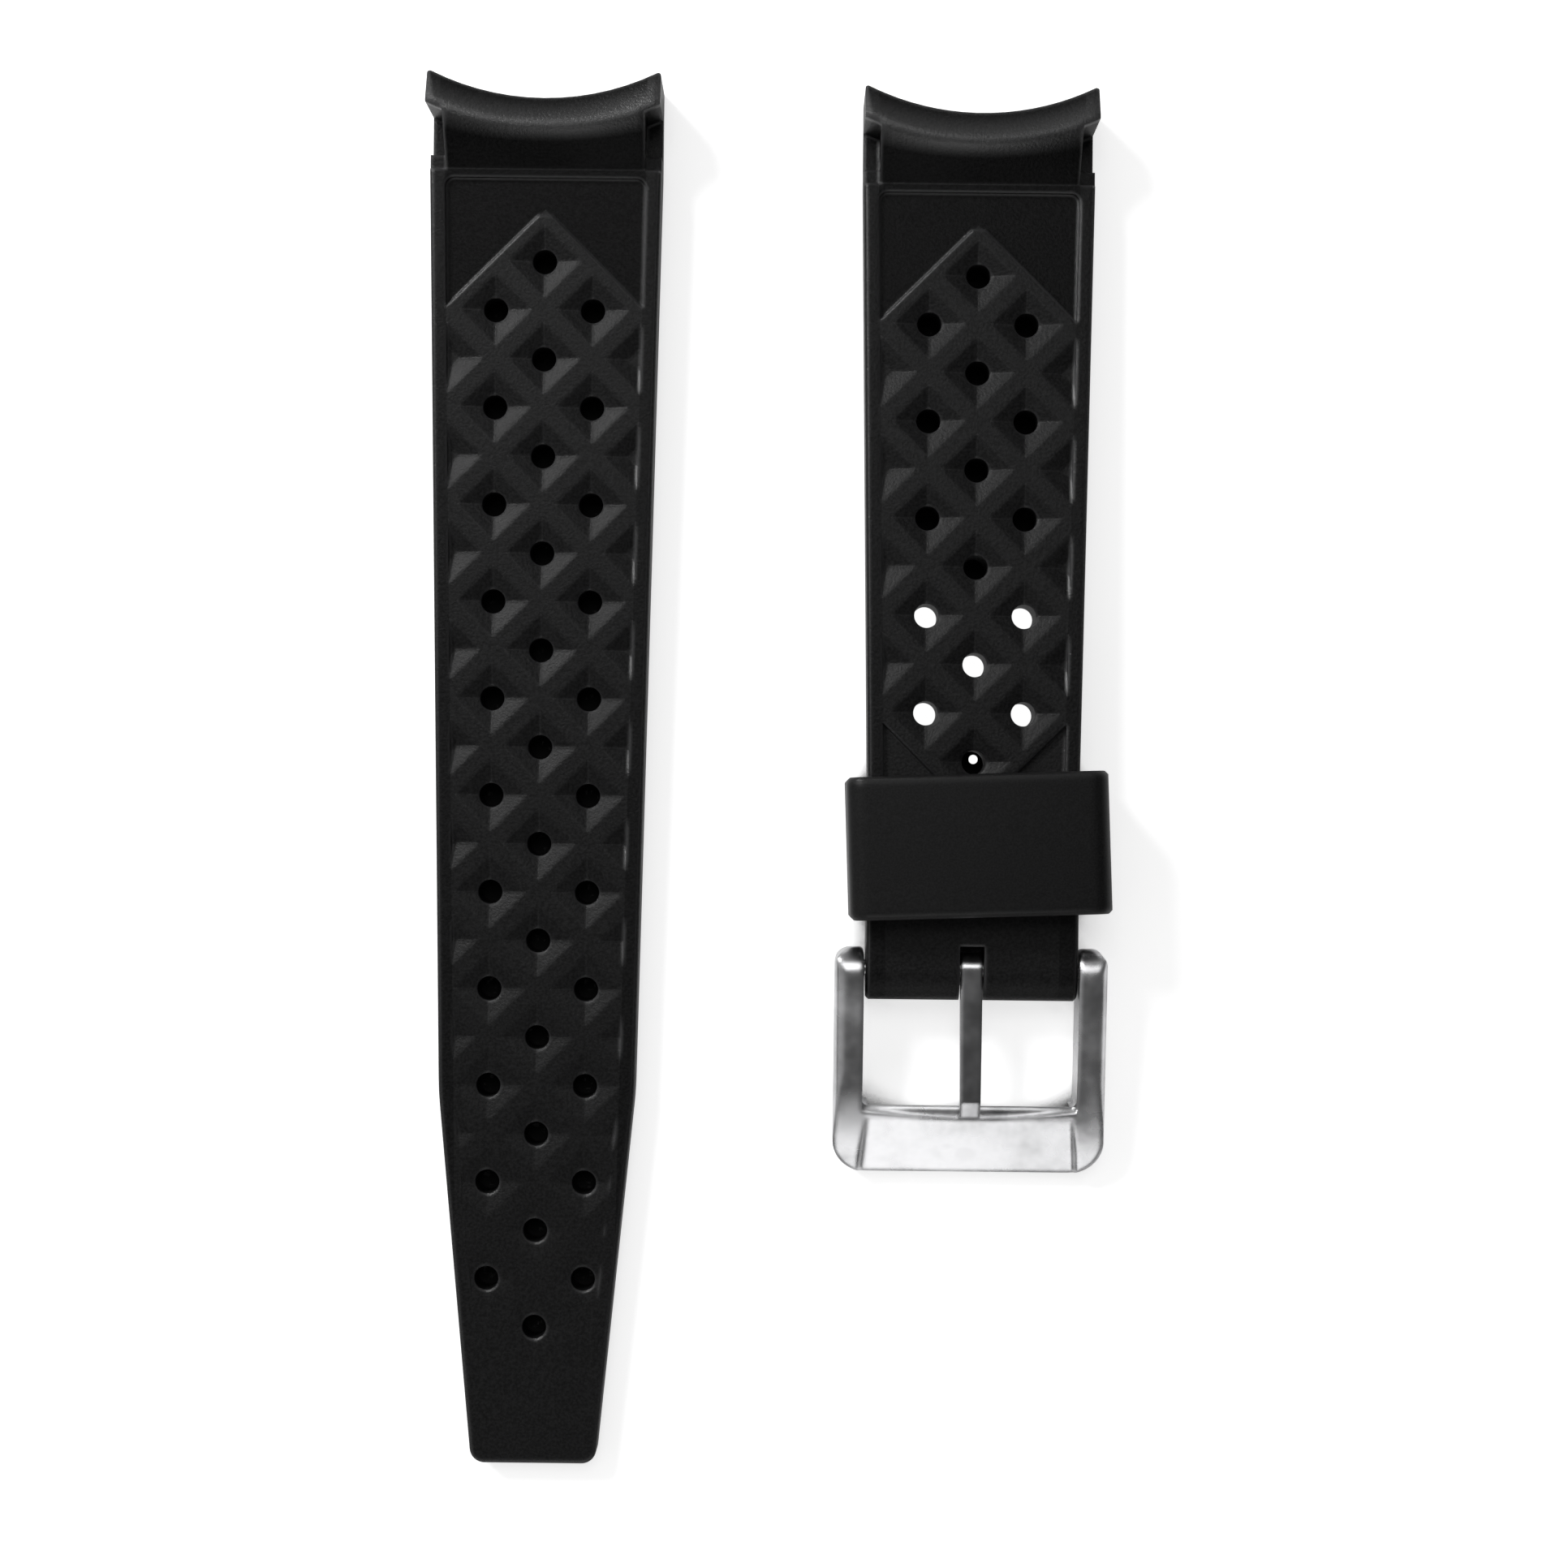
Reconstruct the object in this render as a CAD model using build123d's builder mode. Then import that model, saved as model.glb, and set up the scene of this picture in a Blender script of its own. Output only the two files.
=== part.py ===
"""Two-piece rubber dive strap with fitted ends, a free keeper and a pin buckle.

Millimetres. The halves lie side by side, outer face up, on the plane Z = 0, with their case ends at +Y.
The origin is at the middle of the layout, on that plane.
"""

import os
from math import asin, atan2, cos, degrees, hypot, radians, sin, sqrt

from build123d import *

# Layout of the two halves
centre_lines_apart = 37.5
halves_offset = 1.0
floor_gap = 0.05
overrun = 5.0

# Curved end that both halves share
lug_width = 20.0
case_radius = 22.0
case_edge_height = 5.7
crest_distance = 2.5
crest_height = 7.0
crest_radius = 0.5
shoulder_distance = 5.6
shoulder_thickness = 3.8
horn_thickness = 2.8
horn_tip_radius = 0.25
notch_width = 1.4
notch_floor = 1.7
notch_shelf_height = 3.3
notch_shelf_length = 1.25
lug_bore_radius = 0.9
lug_bore_distance = 3.35
lug_bore_height = 2.7
rim_chamfer = 0.25

# Relief of both halves: a recessed panel and a lattice of holes in sunken diamonds
hole_radius = 1.05
first_hole_distance = 13.5
diamond_share = 0.374
diamond_floor_share = 0.7
diamond_depth = 0.5
border_width = 1.3
panel_distance = 6.3
panel_depth = 0.5
panel_corner_radius = 0.8
chevron_band = 1.0
chevron_flat = 1.15

# Tail half
tail_length = 117.8
tail_taper_distance = 85.5
tail_taper_width = 17.0
tail_taper_radius = 30.0
tail_tip_width = 10.8
tail_tip_thickness = 2.4
tail_tip_radius = 1.3
tail_hole_rows = 12
tail_plain_length = 11.9
soft_rows = 5
last_depth_share = 0.4

# Buckle half
buckle_half_length = 76.0
buckle_taper_distance = 57.5
buckle_end_width = 18.2
buckle_hole_rows = 6
buckle_plain_length = 20.5
bar_setback = 2.7
slot_past_bar = 2.0

# Keeper
keeper_frame_gap = 2.35
keeper_width = 22.2
keeper_length = 12.1
keeper_wall = 1.15
keeper_inner_height = 6.8
keeper_clearance = 0.15
keeper_corner_radius = 1.6
keeper_rim_chamfer = 0.3
keeper_skew = 2.2
keeper_offset = 0.3

# Sprung bar of the buckle
running_clearance = 0.05
bar_radius = 0.75
bar_bore_radius = 0.5
bar_tip_radius = 0.4
bar_tip_length = 1.1
bar_collar_length = 0.4
bar_travel = 1.0
bar_stem_length = 3.0
coil_wire_radius = 0.09
coil_wire_sides = 4
coil_turns = 7

# Buckle frame
frame_side_clearance = 0.15
frame_arm_width = 2.5
frame_end_radius = 1.85
frame_end_length = 2.5
frame_window_length = 11.85
frame_ledge_length = 1.0
frame_ledge_end_length = 0.3
frame_ledge_drop = 0.75
frame_bar_depth = 5.15
frame_undercut = 0.8
frame_arch_start = 7.5
frame_panel_drop = 1.9
frame_panel_start_inset = 0.1
frame_panel_end_inset = 0.35
frame_panel_draft = 0.45
frame_corner_radius = 3.0
frame_inner_corner_radius = 0.5
frame_side_radius = 1.1
frame_arm_end_radius = 1.6
frame_arm_inner_radius = 0.6

# Tongue
tongue_width = 1.9
tongue_tip_width = 1.75
tongue_side_clearance = 0.1
tongue_thickness = 1.05
tongue_wall = 0.65
tongue_bend_length = 1.5
tongue_bend_rise = 0.55
tongue_tip_gap = 0.15
tongue_seat_gap = 0.08
tongue_edge_radius = 0.2

# Places that follow from those sizes
horn_reach = case_radius - sqrt(case_radius**2 - (lug_width / 2) ** 2)
frame_window_width = buckle_end_width + 2 * frame_side_clearance
frame_width = frame_window_width + 2 * frame_arm_width
layout_width = lug_width / 2 + centre_lines_apart + frame_width / 2
tail_x = lug_width / 2 - layout_width / 2
buckle_x = tail_x + centre_lines_apart
tail_case_y = (tail_length + horn_reach) / 2 - horn_reach
buckle_case_y = tail_case_y - halves_offset
bar_distance = buckle_half_length - bar_setback
bar_height = shoulder_thickness / 2
keeper_reach = keeper_length / 2 * cos(radians(keeper_skew)) + keeper_width / 2 * sin(radians(keeper_skew))
keeper_distance = bar_distance - frame_end_radius - keeper_frame_gap - keeper_reach
tail_pitch = (tail_length - tail_plain_length - first_hole_distance) / (tail_hole_rows - 1)
buckle_pitch = (buckle_half_length - buckle_plain_length - first_hole_distance) / (buckle_hole_rows - 1)

# The keeper's lower wall lies under the buckle half and tilts it up from the tips of its horns
strap_tilt = degrees(atan2(keeper_wall + keeper_clearance, horn_reach + keeper_distance - keeper_reach))


def strap_planes(x, case_y, tilt):
    """Plan and side planes of a strap half: distance from the case edge runs along their first axis."""
    along = (0, -cos(radians(tilt)), sin(radians(tilt)))
    up = (0, sin(radians(tilt)), cos(radians(tilt)))
    case_edge = (x, case_y, horn_reach * sin(radians(tilt)))
    plan = Plane(origin=case_edge, x_dir=along, z_dir=up)
    side = Plane(origin=case_edge, x_dir=along, z_dir=(-1, 0, 0))
    return plan, side


def fitted_block(plan, side):
    """Block of the curved end: its front slopes up to a curved crest, its back falls to the shoulder."""
    front = -horn_reach - overrun
    wide = lug_width / 2 + overrun
    crest_side = sqrt((case_radius + crest_distance) ** 2 - wide**2) - case_radius
    with BuildPart() as block:
        with BuildSketch(plan.offset(shoulder_thickness)):
            with BuildLine():
                Polyline((shoulder_distance, wide), (shoulder_distance, -wide),
                         (front, -wide), (front, wide), close=True)
            make_face()
        with BuildSketch(plan.offset(crest_height)):
            with BuildLine():
                crest = ThreePointArc((crest_side, wide), (crest_distance, 0), (crest_side, -wide))
                Polyline(crest @ 1, (front, -wide), (front, wide), crest @ 0)
            make_face()
        loft(ruled=True)
        rise = (crest_height - case_edge_height) / (crest_distance + crest_radius)
        with BuildSketch(side):
            with BuildLine():
                Polyline((-overrun, case_edge_height - overrun * rise),
                         (overrun, case_edge_height + overrun * rise),
                         (overrun, crest_height + overrun), (-overrun, crest_height + overrun), close=True)
            make_face()
        revolve(axis=Axis(side.from_local_coords((-case_radius, 0)), plan.z_dir), mode=Mode.SUBTRACT)
        crest_edge = edges().sort_by_distance(side.from_local_coords((crest_distance, crest_height)))[0]
        fillet(crest_edge, radius=crest_radius)
    return block.part


def strap_blank(plan, side, outline, nose):
    """A strap half before its relief: body, curved end, lug notches and lug bore.

    outline holds (distance, half width, corner radius) points from the shoulder to the end.
    nose draws the side view's far end, from the top line round to the underside.
    """
    with BuildPart() as blank:
        with BuildSketch(side):
            with BuildLine():
                start = Line((-horn_reach - overrun, 0), (-horn_reach - overrun, shoulder_thickness))
                shoulder = Line(start @ 1, (shoulder_distance, shoulder_thickness))
                end = nose(shoulder @ 1)
                Line(end, start @ 0)
            make_face()
        extrude(amount=lug_width / 2 + overrun, both=True)
        add(fitted_block(plan, side))
        with BuildSketch(plan.offset(-overrun)):
            with BuildLine():
                ThreePointArc((-horn_reach, lug_width / 2), (0, 0), (-horn_reach, -lug_width / 2))
                for across in (1, -1):
                    rim = [(distance, across * half_width) for distance, half_width, _ in outline]
                    Polyline((-horn_reach, across * lug_width / 2), *rim)
                length, end_half_width, _ = outline[-1]
                Line((length, end_half_width), (length, -end_half_width))
            make_face()
            fillet(vertices().group_by(Axis.X)[0], radius=horn_tip_radius)
            for distance, half_width, corner_radius in outline:
                corners = [(distance, half_width), (distance, -half_width)]
                if corner_radius:
                    bends = [vertices().sort_by_distance(corner)[0] for corner in corners]
                    fillet(bends, radius=corner_radius)
        extrude(amount=crest_height + 2 * overrun, mode=Mode.INTERSECT)
        shelf_start = shoulder_distance - notch_shelf_length
        for height, notch_end in ((notch_floor, shelf_start), (notch_shelf_height, shoulder_distance)):
            with BuildSketch(plan.offset(height)):
                notch_length = horn_reach + notch_end
                for across in (1, -1):
                    with Locations((notch_end - notch_length / 2, across * lug_width / 2)):
                        Rectangle(notch_length, 2 * notch_width)
                with Locations((-case_radius, 0)):
                    Circle(case_radius + horn_thickness, mode=Mode.SUBTRACT)
            extrude(amount=crest_height, mode=Mode.SUBTRACT)
        with BuildSketch(side):
            with Locations((lug_bore_distance, lug_bore_height)):
                Circle(lug_bore_radius)
        extrude(amount=lug_width / 2 + overrun, both=True, mode=Mode.SUBTRACT)
        outer_face = faces().sort_by_distance(side.from_local_coords((length / 2, shoulder_thickness)))[0]
        rim = outer_face.outer_wire().edges().filter_by(Axis.X, reverse=True)
        chamfer(rim, length=rim_chamfer)
    return blank.part


def top_plane(side, far_distance, far_thickness):
    """Plane of the outer face, which falls evenly from the shoulder to a far point."""
    start = side.from_local_coords((shoulder_distance, shoulder_thickness))
    slope = side.from_local_coords((far_distance, far_thickness)) - start
    return Plane(start, x_dir=slope, z_dir=side.z_dir.cross(slope))


def half_width_at(outline, distance):
    """Half width of a strap half at a distance from its case edge."""
    for (near, near_half, _), (far, far_half, _) in zip(outline, outline[1:]):
        if distance <= far:
            return near_half + (far_half - near_half) * (distance - near) / (far - near)


def inside_border(outline, start, stop):
    """Points of the field inside the flat border, as (distance past the shoulder, half width)."""
    bends = [distance for distance, _, _ in outline if start < distance < stop]
    return [
        (distance - shoulder_distance, half_width_at(outline, distance) - border_width)
        for distance in (start, *bends, stop)
    ]


def field_shape(points):
    """Closed outline of the field inside the border, both sides of the centre line."""
    with BuildSketch() as field:
        with BuildLine():
            Polyline(*points, *[(distance, -half) for distance, half in reversed(points)], close=True)
        make_face()
    return field.sketch


def lattice(pitch, rows, soft=0):
    """Centres of the diamonds: (distance past the shoulder, across, depth, has a hole)."""
    places = []
    for half_row in range(2 * rows - 1):
        row = half_row / 2
        distance = first_hole_distance - shoulder_distance + row * pitch
        softness = max(0, row - (rows - 1 - soft)) / soft if soft else 0
        depth = diamond_depth * (1 - (1 - last_depth_share) * softness)
        if half_row % 2:
            places += [(distance, across * pitch / 2, depth, True) for across in (1, -1)]
        else:
            places.append((distance, 0, depth, True))
            if half_row:
                places += [(distance, across * pitch, depth, False) for across in (1, -1)]
    return places


def diamond(half_diagonal, depth):
    """One sunken diamond below the origin: two crossed bars of trapezoid section, kept where they meet."""
    half_side = half_diagonal / sqrt(2)
    floor_half_side = hole_radius * diamond_floor_share
    with BuildPart() as pit:
        crossed = ((1, 1, 0), (1, -1, 0), Mode.ADD), ((1, -1, 0), (-1, -1, 0), Mode.INTERSECT)
        for x_dir, z_dir, mode in crossed:
            with BuildSketch(Plane((0, 0, 0), x_dir=x_dir, z_dir=z_dir)):
                with BuildLine():
                    Polyline((-half_side, 0), (half_side, 0), (floor_half_side, -depth),
                             (-floor_half_side, -depth), close=True)
                make_face()
            extrude(amount=half_diagonal, both=True, mode=mode)
    return pit.part


def diamonds(face, places, field, pitch):
    """All the sunken diamonds of a half, cut off at the border of its field."""
    with BuildPart(face) as pits:
        for distance, across, depth, _ in places:
            with Locations((distance, across)):
                add(diamond(diamond_share * pitch, depth))
        with BuildSketch(face):
            add(field_shape(field))
        extrude(amount=overrun, both=True, mode=Mode.INTERSECT)
    return pits.part


def panel(face, field, centre, pitch, sign):
    """Recessed panel between a straight edge and the chevron round the first or last diamond.

    sign is 1 where the panel lies before the lattice and -1 where it lies past it.
    """
    apex = centre - sign * (diamond_share * pitch + chevron_band * sqrt(2) - chevron_flat / 2)
    straight = centre - sign * (first_hole_distance - panel_distance)
    wide = lug_width / 2
    with BuildPart() as recess:
        with BuildSketch(face):
            add(field_shape(field))
            foot = apex + sign * (wide - chevron_flat / 2)
            with BuildLine():
                Polyline((straight, wide), (foot, wide), (apex, chevron_flat / 2),
                         (apex, -chevron_flat / 2), (foot, -wide), (straight, -wide), close=True)
            make_face(mode=Mode.INTERSECT)
            straight_corners = vertices().group_by(Axis.X)[0 if sign > 0 else -1]
            fillet(straight_corners, radius=panel_corner_radius)
        extrude(amount=-panel_depth)
    return recess.part


def hole_pins(face, places):
    """Round bars that pass through the strap at the middle of each whole diamond."""
    with BuildPart() as pins:
        with BuildSketch(face):
            with Locations(*[(distance, across) for distance, across, _, hole in places if hole]):
                Circle(hole_radius)
        extrude(amount=overrun, both=True)
    return pins.part


# Tail half: a long strap that tapers to a blunt tip
tail_plan, tail_side = strap_planes(tail_x, tail_case_y, 0)
tail_outline = [
    (shoulder_distance, lug_width / 2, 0),
    (tail_taper_distance, tail_taper_width / 2, tail_taper_radius),
    (tail_length, tail_tip_width / 2, tail_tip_radius),
]
tail_face = top_plane(tail_side, tail_length, tail_tip_thickness)
tail_places = lattice(tail_pitch, tail_hole_rows, soft_rows)
tail_field = inside_border(tail_outline, panel_distance, tail_length - border_width)


def tail_nose(shoulder):
    """Side view of the tail: an even wedge down to the tip."""
    Polyline(shoulder, (tail_length, tail_tip_thickness), (tail_length, 0))
    return tail_length, 0


tail_blank = strap_blank(tail_plan, tail_side, tail_outline, tail_nose)
tail_pits = diamonds(tail_face, tail_places, tail_field, tail_pitch)
tail_panel = panel(tail_face, tail_field, first_hole_distance - shoulder_distance, tail_pitch, 1)

with BuildPart() as tail_strap:
    add(tail_blank)
    add(tail_panel, mode=Mode.SUBTRACT)
    add(tail_pits, mode=Mode.SUBTRACT)
    add(hole_pins(tail_face, tail_places), mode=Mode.SUBTRACT)

# Buckle half: a shorter strap, slotted at its end for the tongue and bored for the sprung bar
buckle_plan, buckle_side = strap_planes(buckle_x, buckle_case_y, strap_tilt)
buckle_outline = [
    (shoulder_distance, lug_width / 2, 0),
    (buckle_taper_distance, buckle_end_width / 2, tail_taper_radius),
    (buckle_half_length, buckle_end_width / 2, 0),
]
buckle_face = top_plane(buckle_side, bar_distance, shoulder_thickness)
buckle_places = lattice(buckle_pitch, buckle_hole_rows)
first_hole = first_hole_distance - shoulder_distance
last_hole = first_hole + (buckle_hole_rows - 1) * buckle_pitch
buckle_field = inside_border(buckle_outline, panel_distance, bar_distance)


def buckle_nose(shoulder):
    """Side view of the buckle end: level with the bar, then a rounded nose past it."""
    Line(shoulder, (bar_distance, shoulder_thickness))
    EllipticalCenterArc((bar_distance, bar_height), bar_setback, bar_height, start_angle=-90, arc_size=180)
    return bar_distance, 0


buckle_blank = strap_blank(buckle_plan, buckle_side, buckle_outline, buckle_nose)
whole_rows = [place for place in buckle_places if place[3] or place[0] < last_hole]
buckle_pits = diamonds(buckle_face, whole_rows, buckle_field, buckle_pitch)
upper_panel = panel(buckle_face, buckle_field, first_hole, buckle_pitch, 1)
lower_panel = panel(buckle_face, buckle_field, last_hole, buckle_pitch, -1)

with BuildPart() as buckle_strap:
    add(buckle_blank)
    add([upper_panel, lower_panel], mode=Mode.SUBTRACT)
    add(buckle_pits, mode=Mode.SUBTRACT)
    add(hole_pins(buckle_face, buckle_places), mode=Mode.SUBTRACT)
    with BuildSketch(buckle_side):
        with Locations((bar_distance, bar_height)):
            Circle(bar_radius + running_clearance)
    extrude(amount=lug_width, both=True, mode=Mode.SUBTRACT)
    with BuildSketch(buckle_plan.offset(-overrun)):
        slot_length = slot_past_bar + bar_setback
        with Locations((buckle_half_length - slot_length / 2 + overrun / 2, 0)):
            Rectangle(slot_length + overrun, tongue_width + 2 * tongue_side_clearance)
    extrude(amount=shoulder_thickness + 2 * overrun, mode=Mode.SUBTRACT)

# Keeper: a rubber loop that hangs slightly askew on the buckle half
keeper_centre = buckle_plan.from_local_coords((keeper_distance, keeper_offset, 0))
keeper_along = buckle_plan.x_dir.rotate(Axis((0, 0, 0), buckle_plan.z_dir), keeper_skew)
keeper_plan = Plane(keeper_centre, x_dir=keeper_along, z_dir=buckle_plan.z_dir)
keeper_section = Plane(keeper_plan.origin, x_dir=keeper_plan.y_dir, z_dir=keeper_plan.x_dir)

with BuildPart() as keeper:
    with BuildSketch(keeper_section):
        with Locations((0, keeper_inner_height / 2 - keeper_clearance)):
            RectangleRounded(keeper_width, keeper_inner_height + 2 * keeper_wall, keeper_corner_radius)
            RectangleRounded(keeper_width - 2 * keeper_wall, keeper_inner_height,
                             keeper_corner_radius - keeper_wall, mode=Mode.SUBTRACT)
    extrude(amount=keeper_length / 2, both=True)
    ends = faces().sort_by(Axis(keeper_plan.origin, keeper_plan.x_dir))
    chamfer([*ends[0].outer_wire().edges(), *ends[-1].outer_wire().edges()], length=keeper_rim_chamfer)

# Sprung bar: a tube with a coil spring inside and a collared plunger at each end
bar_centre = buckle_side.from_local_coords((bar_distance, bar_height))
bar_across = Plane(bar_centre, x_dir=(0, -1, 0), z_dir=(-1, 0, 0))
bar_along = Plane(bar_centre, x_dir=(1, 0, 0), z_dir=(0, -1, 0))
collar_end = frame_window_width / 2 - running_clearance
collar_start = collar_end - bar_collar_length
tube_end = collar_start - bar_travel - running_clearance
stem_end = tube_end - bar_stem_length
tip_end = frame_window_width / 2 + bar_tip_length
stem_radius = bar_bore_radius - running_clearance

with BuildPart() as spring_bar_tube:
    with BuildSketch(bar_across):
        Circle(bar_radius)
        Circle(bar_bore_radius, mode=Mode.SUBTRACT)
    extrude(amount=tube_end, both=True)


def plunger(side):
    """A turned pin: stem in the tube, collar outside it, tip in the frame's arm."""
    with BuildPart() as pin:
        with BuildSketch(bar_along):
            with BuildLine():
                Polyline((side * stem_end, 0), (side * stem_end, stem_radius),
                         (side * collar_start, stem_radius), (side * collar_start, bar_radius),
                         (side * collar_end, bar_radius),
                         (side * collar_end, bar_tip_radius), (side * tip_end, bar_tip_radius),
                         (side * tip_end, 0), close=True)
            make_face()
        revolve(axis=Axis(bar_centre, bar_along.x_dir))
    return pin


spring_bar_plunger_left = plunger(-1)
spring_bar_plunger_right = plunger(1)

with BuildPart() as spring_bar_spring:
    coil_radius = stem_radius - coil_wire_radius
    coil_length = 2 * (stem_end - coil_wire_radius - running_clearance)
    coil_start = bar_centre - Vector(coil_length / 2, 0, 0)
    with BuildLine() as coil:
        Helix(coil_length / coil_turns, coil_length, coil_radius, center=coil_start, direction=(1, 0, 0))
    with BuildSketch(Plane(coil.line @ 0, z_dir=coil.line % 0)):
        RegularPolygon(coil_wire_radius, coil_wire_sides)
    sweep(path=coil.line, is_frenet=True)

# Buckle frame: it droops from the bar until its front rests on the plane that the strap lies on
ledge_end = frame_window_length + frame_ledge_length
frame_length = ledge_end + frame_bar_depth
frame_top = frame_end_radius
frame_bottom = -frame_end_radius
ledge_top = frame_top - frame_ledge_drop
front_corner_angle = atan2(-frame_bottom, frame_length)
droop = asin((bar_centre.Z - floor_gap) / hypot(frame_length, frame_bottom)) - front_corner_angle
frame_along = (0, -cos(droop), -sin(droop))
frame_plan = Plane(bar_centre, x_dir=frame_along, z_dir=(0, -sin(droop), cos(droop)))
frame_side = Plane(bar_centre, x_dir=frame_along, z_dir=(-1, 0, 0))
frame_across = Plane(bar_centre, x_dir=frame_side.z_dir, z_dir=frame_along)

# Its front bar carries an inset flat panel that slopes down to the front edge
fall_radius = ((frame_length - frame_arch_start) ** 2 + frame_panel_drop**2) / (2 * frame_panel_drop)
panel_start_drop = fall_radius - sqrt(fall_radius**2 - (ledge_end - frame_arch_start) ** 2)
panel_start_height = frame_top - panel_start_drop - frame_panel_start_inset
panel_end_height = frame_top - frame_panel_drop - frame_panel_end_inset
panel_start = frame_side.from_local_coords((ledge_end, panel_start_height))
panel_end = frame_side.from_local_coords((frame_length, panel_end_height))
panel_plane = Plane(panel_start, x_dir=panel_end - panel_start,
                    z_dir=frame_side.z_dir.cross(panel_end - panel_start))
panel_length = (panel_end - panel_start).length
panel_half_width = frame_window_width / 2 - frame_panel_draft
panel_end_half_width = panel_half_width + frame_panel_draft * (panel_length + overrun) / panel_length

with BuildPart() as buckle_frame:
    with BuildSketch(frame_side):
        with BuildLine():
            end_centre = frame_end_length - frame_end_radius
            EllipticalCenterArc((end_centre, 0), frame_end_length, frame_end_radius,
                                start_angle=90, arc_size=180)
            arm_top = Line((end_centre, frame_top), (frame_arch_start, frame_top))
            front_top = (frame_length, frame_top - frame_panel_drop)
            fall = TangentArc(arm_top @ 1, front_top, tangent=arm_top % 1)
            Polyline(fall @ 1, (frame_length, frame_bottom), (end_centre, frame_bottom))
        make_face()
    extrude(amount=frame_width / 2, both=True)
    with BuildSketch(frame_plan.offset(-overrun)):
        with Locations(((frame_length - frame_end_radius) / 2, 0)):
            Rectangle(frame_length + frame_end_radius, frame_width)
        fillet(vertices().group_by(Axis.X)[-1], radius=frame_corner_radius)
        fillet(vertices().group_by(Axis.X)[0], radius=frame_arm_end_radius)
        with BuildSketch(mode=Mode.SUBTRACT):
            with Locations(((frame_window_length - overrun) / 2, 0)):
                Rectangle(frame_window_length + overrun, frame_window_width)
            fillet(vertices().group_by(Axis.X)[-1], radius=frame_inner_corner_radius)
        inner_ends = [(-frame_end_radius, across * frame_window_width / 2) for across in (1, -1)]
        inner_corners = [vertices().sort_by_distance(corner)[0] for corner in inner_ends]
        fillet(inner_corners, radius=frame_arm_inner_radius)
    extrude(amount=2 * overrun, mode=Mode.INTERSECT)
    with BuildSketch(frame_across):
        RectangleRounded(frame_width, 2 * frame_top, frame_side_radius)
    extrude(amount=frame_length, both=True, mode=Mode.INTERSECT)
    with BuildSketch(frame_plan.offset(ledge_top)):
        with BuildLine():
            ledge_side = frame_window_length + frame_ledge_end_length
            corner = (ledge_side, frame_window_width / 2)
            opposite = (ledge_side, -frame_window_width / 2)
            ThreePointArc(corner, (ledge_end, 0), opposite)
            Polyline(opposite, (0, -frame_window_width / 2), (0, frame_window_width / 2), corner)
        make_face()
    extrude(amount=overrun, mode=Mode.SUBTRACT)
    with BuildSketch(frame_side):
        with BuildLine():
            Polyline((frame_window_length, ledge_top - frame_ledge_end_length),
                     (frame_window_length, frame_bottom),
                     (frame_window_length + frame_undercut, frame_bottom), close=True)
        make_face()
    extrude(amount=frame_window_width / 2, both=True, mode=Mode.SUBTRACT)
    with BuildSketch(panel_plane):
        with BuildLine():
            Polyline((0, panel_half_width), (panel_length + overrun, panel_end_half_width),
                     (panel_length + overrun, -panel_end_half_width), (0, -panel_half_width), close=True)
        make_face()
    extrude(amount=overrun, taper=-45, mode=Mode.SUBTRACT)
    with BuildSketch(frame_side):
        Circle(bar_tip_radius + running_clearance)
    extrude(amount=tip_end + running_clearance, both=True, mode=Mode.SUBTRACT)

# Tongue: an eye round the sprung bar and a flat shank whose tip rests on the frame's ledge
tongue_eye_radius = bar_radius + running_clearance + tongue_wall
tip_reach = ledge_end - tongue_tip_gap
tip_bottom = ledge_top + tongue_seat_gap
tip_top = tip_bottom + tongue_thickness - tongue_edge_radius
bend = (tip_reach - tongue_bend_length, tip_top + tongue_bend_rise)

with BuildPart() as buckle_tongue:
    with BuildSketch(frame_side):
        with BuildLine():
            Polyline((0, tongue_eye_radius), bend, (tip_reach, tip_top), (tip_reach, tip_bottom),
                     (bend[0], bend[1] - tongue_thickness),
                     (0, tongue_eye_radius - tongue_thickness), close=True)
        make_face()
        Circle(tongue_eye_radius)
        Circle(bar_radius + running_clearance, mode=Mode.SUBTRACT)
    extrude(amount=tongue_width / 2, both=True)
    with BuildSketch(frame_plan.offset(-overrun)):
        with BuildLine():
            Polyline((-tongue_eye_radius, tongue_width / 2), (tip_reach, tongue_tip_width / 2),
                     (tip_reach, -tongue_tip_width / 2),
                     (-tongue_eye_radius, -tongue_width / 2), close=True)
        make_face()
    extrude(amount=2 * overrun, mode=Mode.INTERSECT)

os.makedirs("parts", exist_ok=True)
pieces = {
    "tail_strap": tail_strap,
    "buckle_strap": buckle_strap,
    "keeper": keeper,
    "spring_bar_tube": spring_bar_tube,
    "spring_bar_plunger_left": spring_bar_plunger_left,
    "spring_bar_plunger_right": spring_bar_plunger_right,
    "spring_bar_spring": spring_bar_spring,
    "buckle_frame": buckle_frame,
    "buckle_tongue": buckle_tongue,
}
for name, piece in pieces.items():
    piece.part.label = name
    export_step(piece.part, f"parts/{name}.step")
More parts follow.
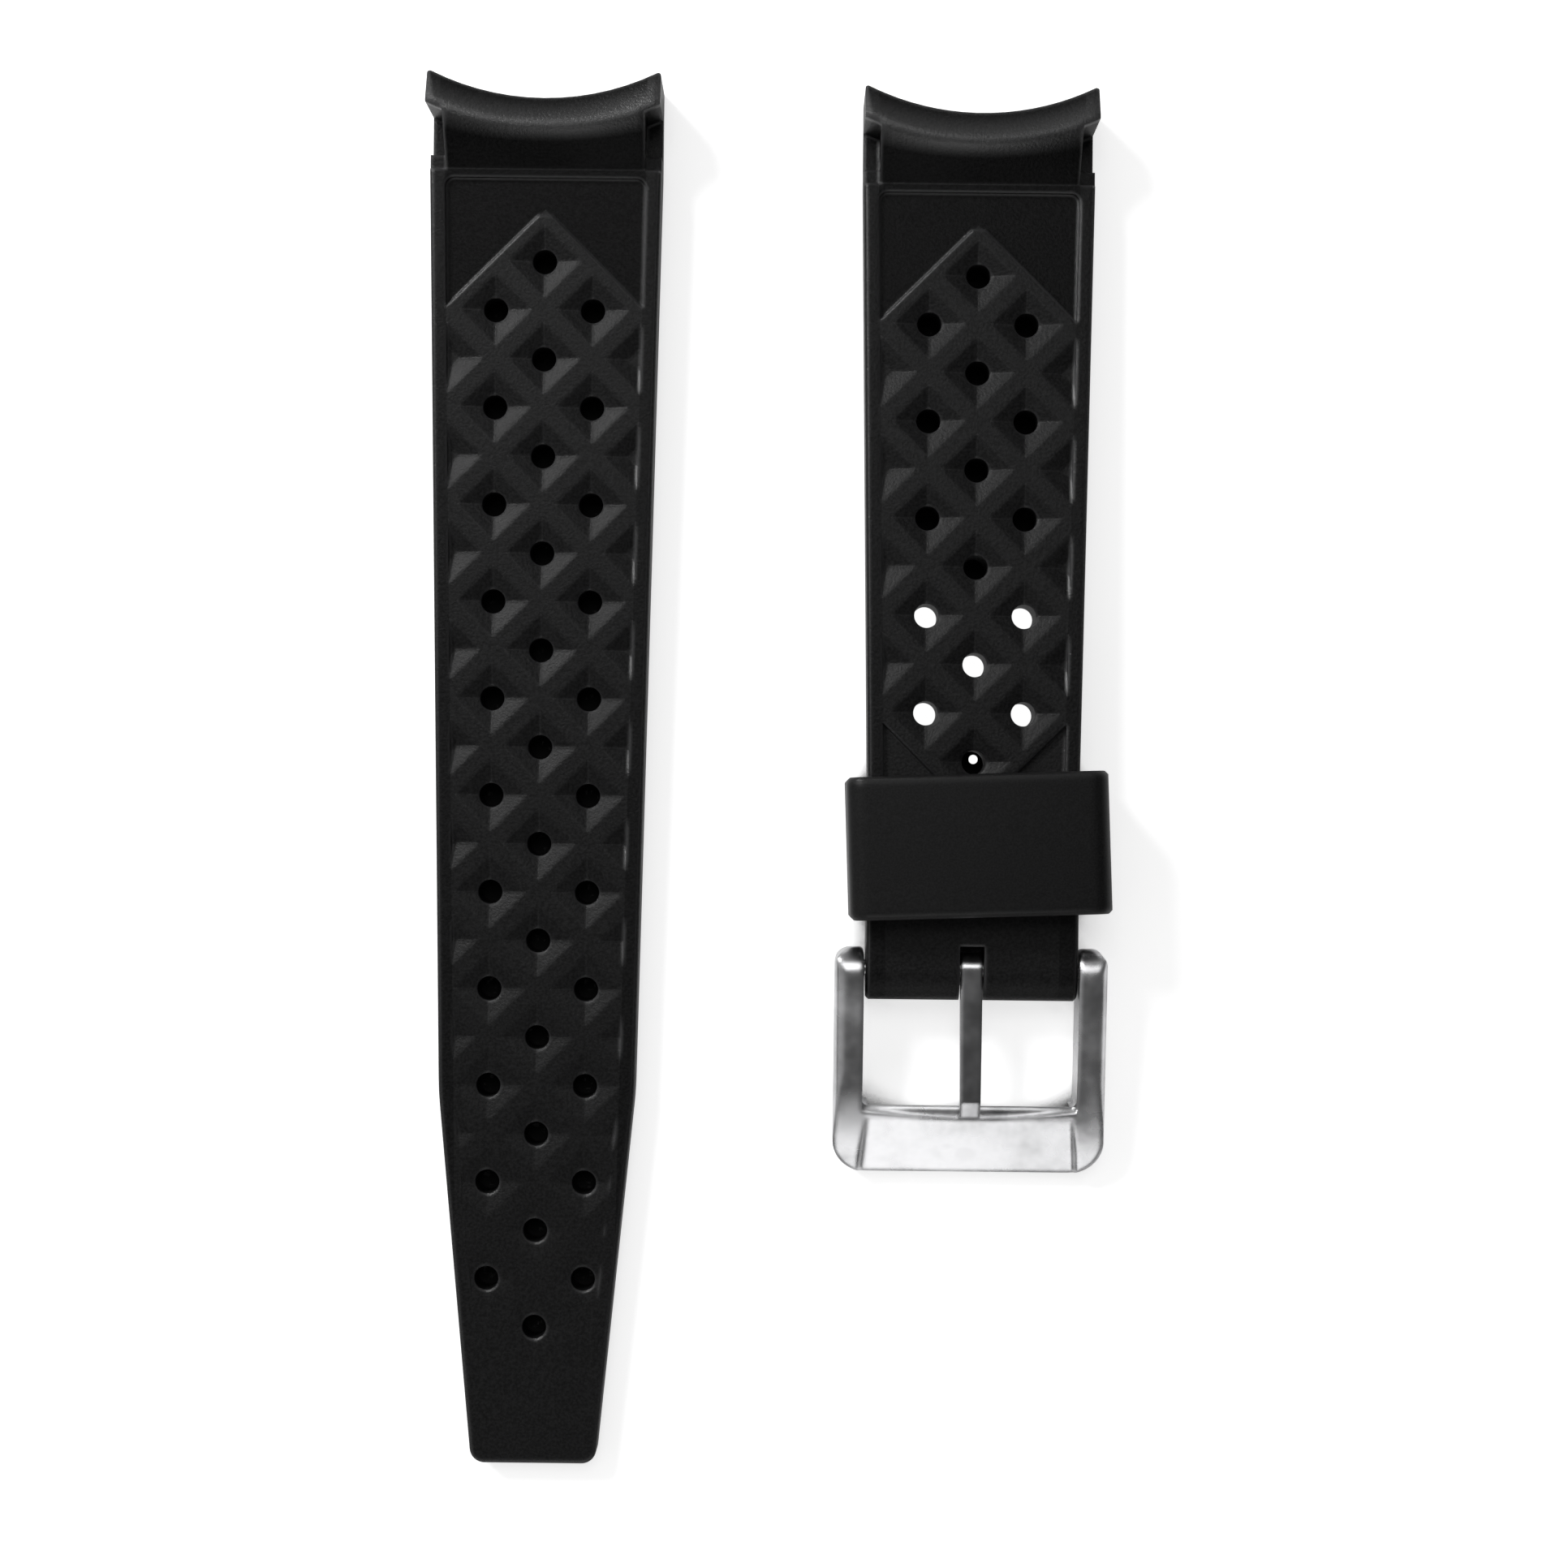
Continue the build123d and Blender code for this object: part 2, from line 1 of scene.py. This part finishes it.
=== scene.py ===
import math
import bpy
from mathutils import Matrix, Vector


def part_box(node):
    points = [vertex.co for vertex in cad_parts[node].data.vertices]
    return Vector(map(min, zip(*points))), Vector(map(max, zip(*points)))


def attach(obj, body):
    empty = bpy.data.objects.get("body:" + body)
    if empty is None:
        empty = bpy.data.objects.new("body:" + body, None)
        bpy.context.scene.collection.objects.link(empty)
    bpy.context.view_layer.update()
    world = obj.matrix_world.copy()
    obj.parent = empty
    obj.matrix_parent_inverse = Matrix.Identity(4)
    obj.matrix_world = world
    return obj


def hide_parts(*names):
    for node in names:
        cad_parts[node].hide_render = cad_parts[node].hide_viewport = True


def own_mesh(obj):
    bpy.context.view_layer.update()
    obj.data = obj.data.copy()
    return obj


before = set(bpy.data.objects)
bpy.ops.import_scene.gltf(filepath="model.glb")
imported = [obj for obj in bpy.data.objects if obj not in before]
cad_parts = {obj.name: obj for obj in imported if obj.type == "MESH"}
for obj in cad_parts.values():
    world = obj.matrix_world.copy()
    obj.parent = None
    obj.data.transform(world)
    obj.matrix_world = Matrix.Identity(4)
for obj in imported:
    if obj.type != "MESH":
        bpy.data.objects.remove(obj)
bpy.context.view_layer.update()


# Tail half: one long moulding of black rubber. The mould is blasted where the lattice is and
# smoother at the panel and the fitted end. The edges come out slightly soft and rub shiny in use,
# and the upper ones carry a painted highlight in a lighter colour.
def smooth_curves(node):
    """Joins a piece's facets, shades its curves smooth and keeps its folds and corners sharp."""
    facet_gap = 0.000002
    steepest_curve = math.radians(11.0)
    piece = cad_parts[node]
    for face in piece.data.polygons:
        face.use_smooth = True
    joined = piece.modifiers.new("joined_facets", "WELD")
    joined.merge_threshold = facet_gap
    corners = piece.modifiers.new("sharp_corners", "EDGE_SPLIT")
    corners.split_angle = steepest_curve
    return piece


def give_material(piece, material):
    piece.data.materials.clear()
    piece.data.materials.append(material)
    for face in piece.data.polygons:
        face.material_index = 0


def add_node(tree, kind, inputs, **settings):
    """Adds a shader node. Each input is a plain value or the socket that feeds it."""
    node = tree.nodes.new("ShaderNode" + kind)
    for setting, value in settings.items():
        setattr(node, setting, value)
    for name, value in inputs.items():
        if isinstance(value, bpy.types.NodeSocket):
            tree.links.new(value, node.inputs[name])
        else:
            node.inputs[name].default_value = value
    return node


def add_maths(tree, operation, *values):
    """Adds a maths node on plain numbers or sockets, and gives its result."""
    return add_node(tree, "Math", dict(enumerate(values)), operation=operation).outputs["Value"]


def moulded_rubber(
        name, colour, painted_highlight_colour, grain_size, grain_height, edge_radius, specular, rubbed_specular,
        crest_start):
    """Matt black rubber with a sandy grain and patches of different sheen. Its upper edges, and its
    crest from crest_start upwards, are rubbed shiny; its upper edges also take a lighter colour as
    a painted highlight."""
    material = bpy.data.materials.new(name)
    material.use_nodes = True
    tree = material.node_tree
    shader = tree.nodes["Principled BSDF"]
    shader.inputs["Base Color"].default_value = (*colour, 1.0)
    on_piece = add_node(tree, "TexCoord", {}).outputs["Object"]

    patches_per_metre = 260.0
    dullest, shiniest, rubbed_roughness = 0.5, 0.38, 0.3
    patches = add_node(
        tree, "TexNoise", {"Vector": on_piece, "Scale": patches_per_metre, "Detail": 4.0})
    patchy_sheen = add_node(
        tree, "MapRange", {"Value": patches.outputs["Fac"], "To Min": shiniest, "To Max": dullest})

    darkest_grain, lightest_grain = 0.4, 1.6
    grain = add_node(tree, "TexNoise", {
        "Vector": on_piece, "Scale": 1.0 / grain_size, "Detail": 3.0, "Roughness": 0.65})
    speckle = add_node(tree, "ValToRGB", {"Fac": grain.outputs["Fac"]})
    stops = speckle.color_ramp.elements
    for stop, share, position in zip(stops, (darkest_grain, lightest_grain), (0.38, 0.62)):
        stop.color = (*[channel * share for channel in colour], 1.0)
        stop.position = position
    soft_edges = add_node(tree, "Bevel", {}, samples=6)
    soft_normal = soft_edges.outputs["Normal"]
    grain_relief = add_node(tree, "Bump", {
        "Strength": 1.0, "Distance": grain_height, "Height": grain.outputs["Fac"],
        "Normal": soft_normal})
    tree.links.new(grain_relief.outputs["Normal"], shader.inputs["Normal"])

    # The edges are where the softened surface leaves the plain one, and the upper ones face up.
    # These upper edges are rubbed shiny and take a lighter colour as a painted highlight.
    barely_bent, fully_bent = 0.985, 0.88
    level_side, upper_side = 0.05, 0.3
    flat_normal = add_node(tree, "NewGeometry", {}).outputs["Normal"]
    flatness = add_node(
        tree, "VectorMath", {0: soft_normal, 1: flat_normal}, operation="DOT_PRODUCT")
    facing = add_node(tree, "SeparateXYZ", {"Vector": soft_normal})
    facing_up = add_node(tree, "MapRange", {
        "Value": facing.outputs["Z"], "From Min": level_side, "From Max": upper_side})
    rubbed_edges_and_painted_highlight = add_node(tree, "MapRange", {
        "Value": flatness.outputs["Value"], "From Min": barely_bent, "From Max": fully_bent,
        "To Max": facing_up.outputs["Result"]}).outputs["Result"]

    crest_blend = 0.0009
    crest_rounding = 2.4
    place = add_node(tree, "SeparateXYZ", {"Vector": on_piece})
    rubbed_crest = add_node(tree, "MapRange", {
        "Value": place.outputs["Z"], "From Min": crest_start,
        "From Max": crest_start + crest_blend}).outputs["Result"]
    rounding = add_node(tree, "MapRange", {
        "Value": rubbed_crest, "To Min": edge_radius, "To Max": edge_radius * crest_rounding})
    tree.links.new(rounding.outputs["Result"], soft_edges.inputs["Radius"])

    # Painted highlight: the upper edges are painted a lighter colour than the rest of the rubber.
    painted_edge_highlight = add_node(tree, "Mix", {
        "Factor": rubbed_edges_and_painted_highlight, "A": speckle.outputs["Color"], "B": (*painted_highlight_colour, 1.0)},
        data_type="RGBA")
    tree.links.new(painted_edge_highlight.outputs["Result"], shader.inputs["Base Color"])
    rubbed = add_node(
        tree, "Math", {0: rubbed_edges_and_painted_highlight, 1: rubbed_crest}, operation="MAXIMUM", name="rubbed")
    sheen = add_node(tree, "Mix", {
        "Factor": rubbed.outputs["Value"], "A": patchy_sheen.outputs["Result"],
        "B": rubbed_roughness})
    tree.links.new(sheen.outputs["Result"], shader.inputs["Roughness"])
    shine = add_node(tree, "MapRange", {
        "Value": rubbed.outputs["Value"], "To Min": specular, "To Max": rubbed_specular})
    tree.links.new(shine.outputs["Result"], shader.inputs["Specular IOR Level"])
    return material


def smoother_panel(material, centre, chevron):
    """Leaves the lattice matt. Makes the panel above the chevron, whose point's Y is given,
    smoother and the border half as smooth."""
    chevron_to_case_end = 0.00895
    lattice_half_width = 0.0088
    border_taper = 0.0188
    border_smoothness = 0.45
    smooth_shares = {"Roughness": 0.7, "Specular IOR Level": 0.4, "Base Color": 0.5}

    tree = material.node_tree
    shader = tree.nodes["Principled BSDF"]
    on_piece = add_node(tree, "TexCoord", {}).outputs["Object"]
    place = add_node(tree, "SeparateXYZ", {"Vector": on_piece})
    along = place.outputs["Y"]
    off_centre = add_maths(
        tree, "ABSOLUTE", add_maths(tree, "SUBTRACT", place.outputs["X"], centre))
    past_chevron = add_maths(
        tree, "GREATER_THAN", add_maths(tree, "ADD", along, off_centre), chevron)
    from_case_end = add_maths(tree, "SUBTRACT", chevron + chevron_to_case_end, along)
    taper = add_maths(tree, "MULTIPLY", from_case_end, border_taper)
    border = add_maths(
        tree, "GREATER_THAN", add_maths(tree, "ADD", off_centre, taper), lattice_half_width)
    panel = add_maths(tree, "MULTIPLY", past_chevron, add_maths(tree, "SUBTRACT", 1.0, border))
    smooth = add_maths(
        tree, "MAXIMUM", panel, add_maths(tree, "MULTIPLY", border, border_smoothness))
    # The rubbed edges keep their shine and their painted highlight colour.
    unrubbed = add_maths(tree, "SUBTRACT", 1.0, tree.nodes["rubbed"].outputs["Value"])
    smooth = add_maths(tree, "MULTIPLY", smooth, unrubbed)
    for socket, share in smooth_shares.items():
        plain = shader.inputs[socket].links[0].from_socket
        lost = add_maths(tree, "MULTIPLY", smooth, 1.0 - share)
        kept = add_maths(tree, "SUBTRACT", 1.0, lost)
        scaled = add_node(tree, "VectorMath", {"Vector": plain, "Scale": kept}, operation="SCALE")
        tree.links.new(scaled.outputs["Vector"], shader.inputs[socket])


# The lighter second colour of the strap rubber is the painted highlight on its upper edges.
strap_rubber = {
    "colour": (0.0065, 0.0065, 0.0067), "painted_highlight_colour": (0.022, 0.022, 0.023),
    "grain_size": 0.00024, "grain_height": 0.000045, "edge_radius": 0.0005,
    "specular": 0.19, "rubbed_specular": 0.9, "crest_start": 0.0057}
tail_rubber = moulded_rubber("tail_black_rubber", **strap_rubber)
smoother_panel(tail_rubber, centre=-0.019625, chevron=0.04875)
tail_strap = smooth_curves("tail_strap")
give_material(tail_strap, tail_rubber)


# Buckle half: the short moulding of the same rubber, slotted at its end for the tongue and bored
# across for the sprung bar. It lies tilted up on the keeper's lower wall.
short_rubber = moulded_rubber("short_black_rubber", **strap_rubber)
smoother_panel(short_rubber, centre=0.017875, chevron=0.04775)
buckle_strap = smooth_curves("buckle_strap")
give_material(buckle_strap, short_rubber)


# Keeper: a free loop of softer black rubber, moulded flat-walled with rounded corners, that is
# pushed over the buckle half from its end and sits slightly askew.
above_everything = 1.0
# The keeper's upper edges take the lighter colour too, as a painted highlight.
keeper_rubber = moulded_rubber(
    "keeper_black_rubber", colour=(0.0045, 0.0045, 0.0047), painted_highlight_colour=(0.012, 0.012, 0.012),
    grain_size=0.00016, grain_height=0.000004, edge_radius=0.00096, specular=0.21,
    rubbed_specular=0.5, crest_start=above_everything)
keeper = smooth_curves("keeper")
give_material(keeper, keeper_rubber)


# Buckle frame: one cast and machined piece of stainless steel. Its arms are polished, then brushed
# lightly along their length, and the flat panel of the front bar is finished across.
def satin_steel(name, tones, line_stretch, roughness, edge_radius):
    """Stainless steel with fine brush lines, cloudy patches from hand polishing and soft smears."""
    material = bpy.data.materials.new(name)
    material.use_nodes = True
    tree = material.node_tree
    shader = tree.nodes["Principled BSDF"]
    shader.inputs["Metallic"].default_value = 1.0
    shader.inputs["Base Color"].default_value = (0.66, 0.66, 0.67, 1.0)
    on_piece = add_node(tree, "TexCoord", {}).outputs["Object"]

    lines_per_metre, line_depth = 9000.0, 0.000002
    stretched = add_node(tree, "Mapping", {"Vector": on_piece, "Scale": line_stretch})
    brush_lines = add_node(tree, "TexNoise", {
        "Vector": stretched.outputs["Vector"], "Scale": lines_per_metre, "Detail": 2.0})
    soft_edges = add_node(tree, "Bevel", {"Radius": edge_radius}, samples=8)
    line_relief = add_node(tree, "Bump", {
        "Strength": 0.2, "Distance": line_depth, "Height": brush_lines.outputs["Fac"],
        "Normal": soft_edges.outputs["Normal"]})

    clouds_per_metre, cloud_depth = 190.0, 0.00004
    best_polish, worst_polish = roughness - 0.07, roughness + 0.09
    clouds = add_node(tree, "TexNoise", {
        "Vector": on_piece, "Scale": clouds_per_metre, "Detail": 3.0, "Roughness": 0.6})
    polish = add_node(tree, "MapRange", {
        "Value": clouds.outputs["Fac"], "From Min": 0.3, "From Max": 0.7,
        "To Min": best_polish, "To Max": worst_polish})
    tree.links.new(polish.outputs["Result"], shader.inputs["Roughness"])
    waves = add_node(tree, "Bump", {
        "Strength": 0.4, "Distance": cloud_depth, "Height": clouds.outputs["Fac"],
        "Normal": line_relief.outputs["Normal"]})
    tree.links.new(waves.outputs["Normal"], shader.inputs["Normal"])

    bluish = 1.015
    tone = add_node(tree, "ValToRGB", {"Fac": clouds.outputs["Fac"]})
    for stop, grey, position in zip(tone.color_ramp.elements, tones, (0.3, 0.65)):
        stop.color = (grey, grey, grey * bluish, 1.0)
        stop.position = position
    tree.links.new(tone.outputs["Color"], shader.inputs["Base Color"])
    return material


lines_along_y = (1.0, 0.06, 1.0)
frame_steel = satin_steel(
    "brushed_buckle_steel", tones=(0.42, 0.84), line_stretch=lines_along_y, roughness=0.26,
    edge_radius=0.0007)
buckle_frame = smooth_curves("buckle_frame")
give_material(buckle_frame, frame_steel)


# Tongue: a strip of the same steel, rolled into an eye round the sprung bar and bent down at its
# tip, which rests on the ledge of the front bar.
tongue_steel = satin_steel(
    "brushed_tongue_steel", tones=(0.26, 0.62), line_stretch=lines_along_y, roughness=0.2,
    edge_radius=0.0005)
buckle_tongue = smooth_curves("buckle_tongue")
give_material(buckle_tongue, tongue_steel)


# Sprung bar: a drawn tube with a turned plunger at each end and a coil spring between them, all
# plain steel. It passes through the strap's end and the tongue's eye. The spring is shown as two
# halves that meet in its middle.
def deselect_all():
    bpy.ops.object.select_all(action="DESELECT")


lines_along_x = (0.05, 1.0, 1.0)
turned_steel = satin_steel(
    "turned_bar_steel", tones=(0.45, 0.7), line_stretch=lines_along_x, roughness=0.3,
    edge_radius=0.00005)
for node in ("spring_bar_tube", "spring_bar_plunger_left", "spring_bar_plunger_right"):
    give_material(smooth_curves(node), turned_steel)
lowest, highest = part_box("spring_bar_spring")
spring_centre = (lowest + highest) / 2
bar_direction = (1.0, 0.0, 0.0)
for side in ("left", "right"):
    deselect_all()
    half_spring = bpy.data.objects.new(
        "spring_bar_spring_" + side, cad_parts["spring_bar_spring"].data.copy())
    bpy.context.collection.objects.link(half_spring)
    half_spring.select_set(True)
    bpy.context.view_layer.objects.active = half_spring
    bpy.ops.object.mode_set(mode="EDIT")
    bpy.ops.mesh.select_all(action="SELECT")
    bpy.ops.mesh.remove_doubles(threshold=0.000001)
    bpy.ops.mesh.bisect(
        plane_co=spring_centre, plane_no=bar_direction, use_fill=True, threshold=0.0,
        clear_outer=side == "left", clear_inner=side == "right")
    bpy.ops.object.mode_set(mode="OBJECT")
    give_material(half_spring, turned_steel)
    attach(half_spring, "buckle_half")
    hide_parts("spring_bar_spring")
    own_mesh(half_spring)


# Floor: a large matt white table top, the same white in every direction. A painted shade makes it
# dark where the strap hides it, so the holes show black, and painted light keeps it white under the
# five holes that are raised furthest off it and paints a white spot under the hole next to them.
floor_size, floor_drop = 6.0, 0.0002
deselect_all()
bpy.ops.mesh.primitive_plane_add(size=floor_size, location=(0.0, 0.0, -floor_drop))
floor = bpy.context.object
floor.name = "floor"
floor_white = bpy.data.materials.new("floor_white")
floor_white.use_nodes = True
tree = floor_white.node_tree
floor_paint = tree.nodes["Principled BSDF"]
floor_paint.inputs["Roughness"].default_value = 0.9
floor_paint.inputs["Specular IOR Level"].default_value = 0.1

# Painted shade: where the floor's own occlusion reading finds the strap close above, its colour and
# glow are darkened.
hidden_share, open_share = 0.28, 0.42
openness = add_node(tree, "AmbientOcclusion", {"Distance": 0.006}, samples=16)
free_of_painted_shade = add_node(tree, "MapRange", {
    "Value": openness.outputs["AO"], "From Min": hidden_share, "From Max": open_share})

# Painted light: the floor glows full white under the raised holes and in a spot under the last
# hole, whatever lies above.
raised_holes_centre, raised_holes_reach = (0.0167, 0.0102), (0.0066, 0.0068)
last_hole_spot, last_hole_spot_radius = (0.0182, 0.0016, 0.0), 0.0004
on_floor = add_node(tree, "TexCoord", {}).outputs["Object"]
place = add_node(tree, "SeparateXYZ", {"Vector": on_floor})
raised_column = add_maths(
    tree, "COMPARE", place.outputs["X"], raised_holes_centre[0], raised_holes_reach[0])
raised_rows = add_maths(
    tree, "COMPARE", place.outputs["Y"], raised_holes_centre[1], raised_holes_reach[1])
painted_light_under_raised_holes = add_maths(tree, "MULTIPLY", raised_column, raised_rows)
from_spot = add_node(
    tree, "VectorMath", {0: on_floor, 1: last_hole_spot}, operation="DISTANCE")
painted_spot_under_last_hole = add_maths(
    tree, "LESS_THAN", from_spot.outputs["Value"], last_hole_spot_radius)

plain_white, mirrored_white = 0.66, 0.4
glow_with_painted_shade = add_maths(tree, "MULTIPLY", free_of_painted_shade.outputs["Result"], plain_white)
glow_with_painted_light_and_shade = add_maths(
    tree, "MAXIMUM", glow_with_painted_shade, add_maths(tree, "MAXIMUM", painted_light_under_raised_holes, painted_spot_under_last_hole))
path = add_node(tree, "LightPath", {})
mirrored = add_maths(
    tree, "MAXIMUM", path.outputs["Is Glossy Ray"], path.outputs["Is Transmission Ray"])
seen = add_maths(
    tree, "MAXIMUM", path.outputs["Is Camera Ray"],
    add_maths(tree, "MULTIPLY", mirrored, mirrored_white))
white_glow = add_node(tree, "Emission", {"Strength": add_maths(tree, "MULTIPLY", seen, glow_with_painted_light_and_shade)})

# The floor's colour carries the same painted shade, near black where it is hidden.
painted_shade_grey, open_grey = (0.01, 0.01, 0.01, 1.0), (0.82, 0.82, 0.82, 1.0)
paint = add_node(
    tree, "Mix", {"A": painted_shade_grey, "B": open_grey, "Factor": free_of_painted_shade.outputs["Result"]},
    data_type="RGBA")
tree.links.new(paint.outputs["Result"], floor_paint.inputs["Base Color"])
together = add_node(
    tree, "AddShader", {0: floor_paint.outputs["BSDF"], 1: white_glow.outputs["Emission"]})
tree.links.new(together.outputs["Shader"], tree.nodes["Material Output"].inputs["Surface"])
floor.data.materials.append(floor_white)


# Light: one soft lamp from the upper left, weak ones overhead and from below the picture, and a dim
# room that is brightest on the first lamp's side and looks white to the camera.
def soft_lamp(name, position, diameter, power):
    deselect_all()
    bpy.ops.object.light_add(type="AREA", location=position)
    lamp = bpy.context.object
    lamp.name = name
    lamp.data.shape = "DISK"
    lamp.data.size = diameter
    lamp.data.energy = power
    lamp.rotation_euler = (-Vector(position)).to_track_quat("-Z", "Y").to_euler()


soft_lamp("key_lamp", position=(-0.31, 0.31, 0.33), diameter=0.16, power=1.9)
soft_lamp("top_lamp", position=(0.0, 0.19, 0.5), diameter=0.22, power=0.34)
soft_lamp("low_lamp", position=(0.0, -0.45, 0.25), diameter=0.3, power=0.33)
room = bpy.data.worlds.new("pale_room")
bpy.context.scene.world = room
room.use_nodes = True
tree = room.node_tree
direction = add_node(tree, "TexCoord", {})
lamp_side = (-0.75, 0.55, 0.1)
towards_lamp = add_node(
    tree, "VectorMath", {0: direction.outputs["Generated"], 1: lamp_side},
    operation="DOT_PRODUCT")
shade = add_node(tree, "ValToRGB", {"Fac": towards_lamp.outputs["Value"]})
for stop, grey, position in zip(shade.color_ramp.elements, (0.11, 0.55), (0.0, 0.9)):
    stop.color = (grey, grey, grey, 1.0)
    stop.position = position
path = add_node(tree, "LightPath", {})
backdrop = add_node(tree, "Mix", {
    "Factor": path.outputs["Is Camera Ray"], "A": shade.outputs["Color"],
    "B": (1.0, 1.0, 1.0, 1.0)}, data_type="RGBA")
tree.links.new(backdrop.outputs["Result"], tree.nodes["Background"].inputs["Color"])
tree.nodes["Background"].inputs["Strength"].default_value = 1.0

# Camera: straight above the strap, a little off its middle and turned a touch, as it was
# photographed. The lens shows the photographed width at the distance it was taken from.
sensor_width = 36.0
photographed_width, photographed_from = 0.1356, 0.2
camera_place, camera_turn = (0.001575, -0.00075, 0.2035), (0.0, 0.0, math.radians(0.65))
deselect_all()
bpy.ops.object.camera_add(location=camera_place, rotation=camera_turn)
camera = bpy.context.object
camera.data.sensor_width = sensor_width
camera.data.lens = sensor_width * photographed_from / photographed_width
camera.data.clip_start = 0.01
camera.data.clip_end = 20.0
bpy.context.scene.camera = camera
bpy.context.scene.view_settings.view_transform = "Standard"
